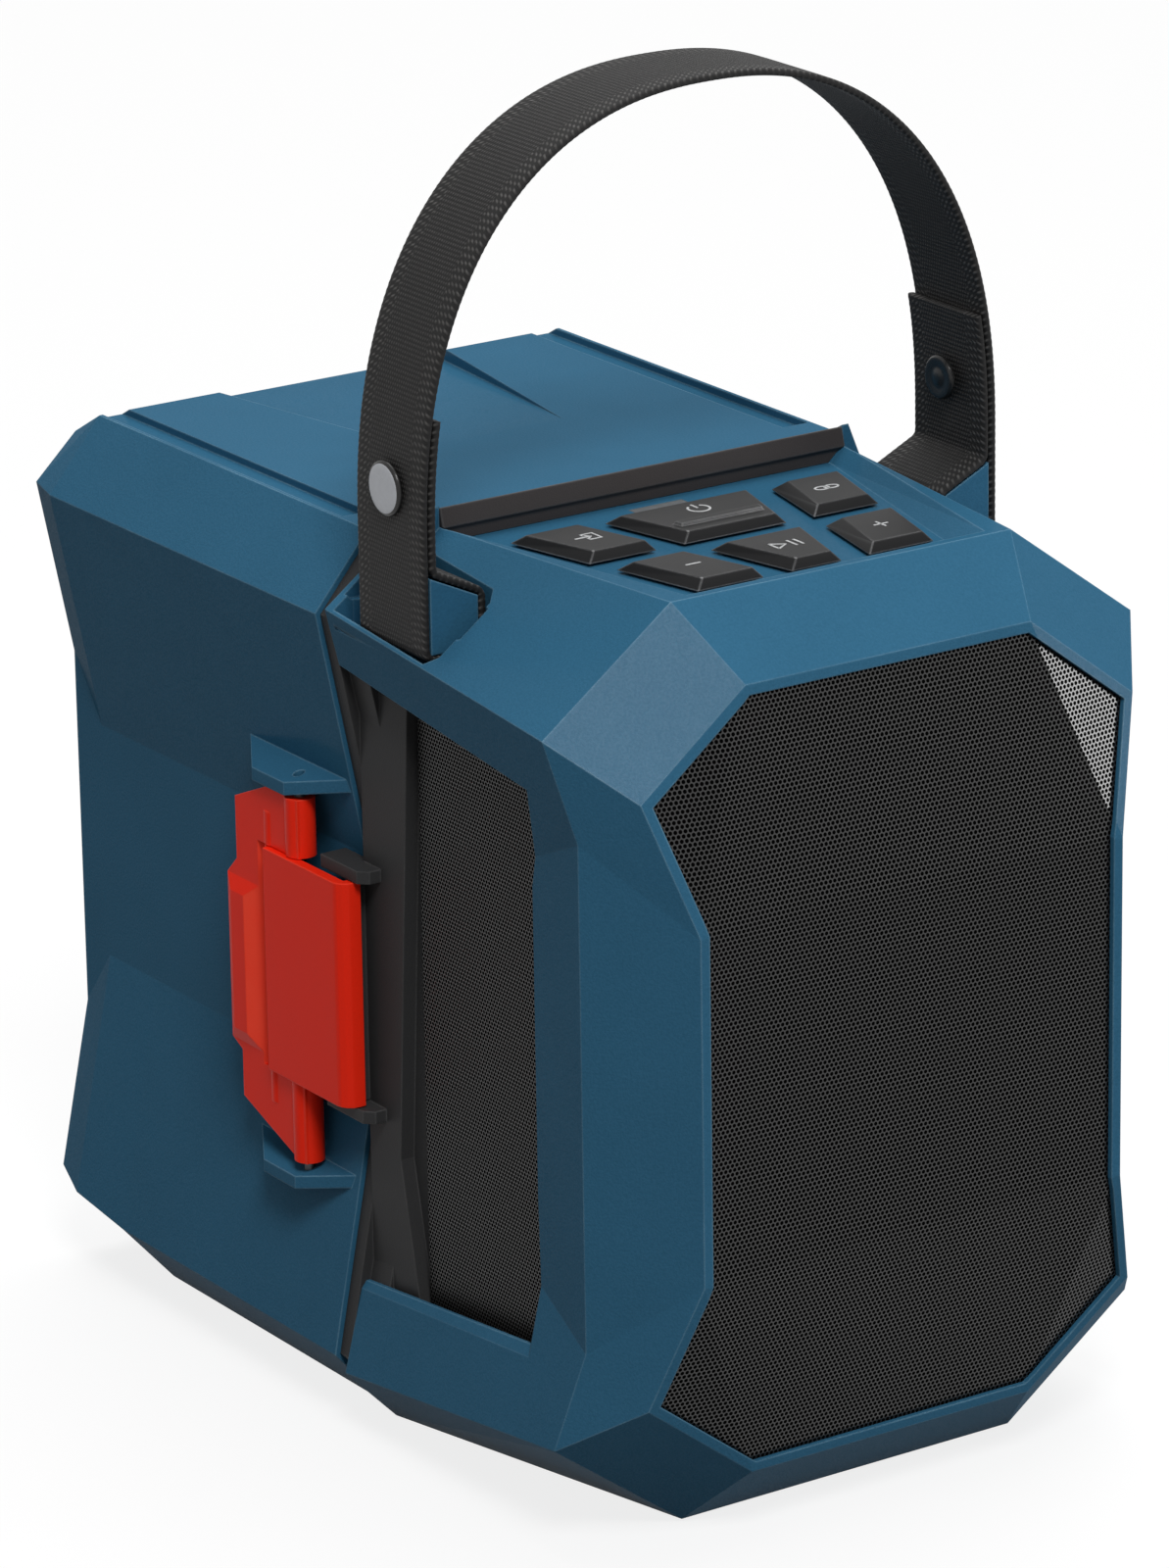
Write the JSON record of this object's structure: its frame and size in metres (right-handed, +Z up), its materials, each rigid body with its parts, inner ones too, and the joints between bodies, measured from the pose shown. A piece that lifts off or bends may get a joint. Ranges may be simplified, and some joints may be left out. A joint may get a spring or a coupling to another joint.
{
  "type": "bluetooth speaker",
  "caption": "Rugged portable speaker with faceted shell, front and side mesh, sunken keypad, webbing carry handle and latched rear cover.",
  "frame": {"origin": "centre of the base pad's underside, on the ground", "axes": "+Z up, +X to the speaker's right as seen from its front, +Y from the front mesh to the rear cover"},
  "size_m": [0.188, 0.292, 0.374],
  "materials": {
    "shell_blue": "fine-textured moulded plastic",
    "chassis_black": "fine-textured moulded plastic",
    "mesh_black": "satin black, perforated",
    "key_black": "satin",
    "latch_red": "satin",
    "bail_red": "satin",
    "webbing_black": "woven webbing",
    "stud_grey": "satin grey cap",
    "stud_black": "satin black cap",
    "rubber_black": "matte rubber",
    "pin_steel": "plain steel",
    "cone_paper": "dark pressed paper",
    "magnet_iron": "plain",
    "board_green": "circuit board",
    "light_lens": "smoked lens"
  },
  "bodies": {
    "housing": {"front_shell": "shell_blue", "front_grille": "mesh_black", "baffle": "chassis_black", "woofer_frame": "chassis_black", "woofer_cone": "cone_paper", "woofer_magnet": "magnet_iron", "side_grille_left": "mesh_black", "side_grille_right": "mesh_black", "side_radiator_left": "rubber_black", "side_radiator_right": "rubber_black", "strap_bar_left": "shell_blue", "strap_bar_right": "shell_blue", "snap_left": "stud_grey", "snap_right": "stud_black", "mid_frame": "chassis_black", "top_band": "chassis_black", "power_light": "light_lens", "keypad_membrane": "rubber_black", "keypad_board": "board_green", "amplifier_board": "board_green", "battery_dock": "chassis_black", "terminal_block": "chassis_black", "usb_socket": "pin_steel", "aux_socket": "chassis_black", "power_socket": "chassis_black", "base_pad": "rubber_black", "cover_seal": "rubber_black", "housing_screws": "pin_steel", "hinge_pin": "pin_steel", "strap": "webbing_black"},
    "key_minus": {"key_minus": "key_black"},
    "key_play": {"key_play": "key_black"},
    "key_plus": {"key_plus": "key_black"},
    "key_source": {"key_source": "key_black"},
    "key_power": {"key_power": "key_black"},
    "key_link": {"key_link": "key_black"},
    "rear_cover": {"rear_cover": "shell_blue", "rear_foot_left": "rubber_black", "rear_foot_right": "rubber_black", "lever_pin": "pin_steel"},
    "latch_lever": {"latch_lever": "latch_red", "bail_pin": "pin_steel"},
    "latch_bail": {"latch_bail": "bail_red"}
  },
  "joints": [
    {"name": "cover_swing", "type": "hinge", "parent": "housing", "child": "rear_cover", "pos_m": [0.089, 0.0625, 0.129], "axis": [0, 0, -1], "range_deg": [0, 105]},
    {"name": "latch_turn", "type": "hinge", "parent": "rear_cover", "child": "latch_lever", "pos_m": [-0.089, 0.0725, 0.124], "axis": [0, 0, 1], "range_deg": [0, 90]},
    {"name": "bail_turn", "type": "hinge", "parent": "latch_lever", "child": "latch_bail", "pos_m": [-0.089, 0.0845, 0.127], "axis": [0, 0, 1], "range_deg": [-90, 0]},
    {"name": "key_minus_press", "type": "slide", "parent": "housing", "child": "key_minus", "axis": [0, 0, -1], "range_m": [0, 0.0006], "stiffness_N_per_m": 800},
    {"name": "key_play_press", "type": "slide", "parent": "housing", "child": "key_play", "axis": [0, 0, -1], "range_m": [0, 0.0006], "stiffness_N_per_m": 800},
    {"name": "key_plus_press", "type": "slide", "parent": "housing", "child": "key_plus", "axis": [0, 0, -1], "range_m": [0, 0.0006], "stiffness_N_per_m": 800},
    {"name": "key_source_press", "type": "slide", "parent": "housing", "child": "key_source", "axis": [0, 0, -1], "range_m": [0, 0.0006], "stiffness_N_per_m": 800},
    {"name": "key_power_press", "type": "slide", "parent": "housing", "child": "key_power", "axis": [0, 0, -1], "range_m": [0, 0.0006], "stiffness_N_per_m": 800},
    {"name": "key_link_press", "type": "slide", "parent": "housing", "child": "key_link", "axis": [0, 0, -1], "range_m": [0, 0.0006], "stiffness_N_per_m": 800}
  ],
  "couplings": [
    {"joint": "bail_turn", "follows": "latch_turn", "ratio": -1}
  ]
}
